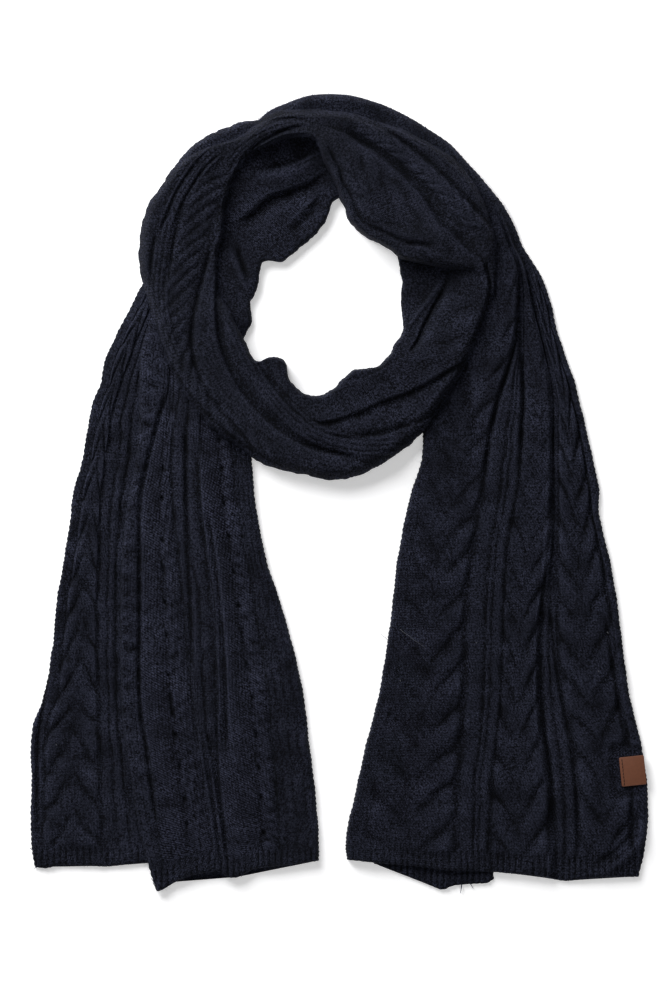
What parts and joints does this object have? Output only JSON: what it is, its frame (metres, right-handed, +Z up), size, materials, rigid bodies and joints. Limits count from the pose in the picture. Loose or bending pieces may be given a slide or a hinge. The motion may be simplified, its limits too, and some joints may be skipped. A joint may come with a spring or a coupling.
{
  "type": "knit scarf",
  "caption": "Oblong cable-knit scarf laid flat, wound into a ring round an open neck hole, both broad ends hanging down side by side, with a small plain leather label at an edge.",
  "frame": {"origin": "middle of the laid scarf's outline, on the surface it lies on", "axes": "+Y from the tails' hems towards the neck loop, +X to the right as seen from above, +Z up from the surface"},
  "size_m": [0.4946, 0.6382, 0.0361],
  "materials": {
    "knit": "black wool-blend yarn with a faint blue cast, matt and slightly hairy, in cables, ribs and purl ground",
    "leather": "smooth brown leather, satin, stitched along one edge"
  },
  "bodies": {
    "root": {"neck_band_over": "knit", "front_loop": "knit", "neck_band_under": "knit", "neck_band_under_back_edge": "knit", "right_shoulder": "knit", "right_tail": "knit", "right_tail_turned_under": "knit", "left_tail": "knit", "left_tail_turned_back": "knit", "leather_label": "leather"}
  },
  "joints": []
}
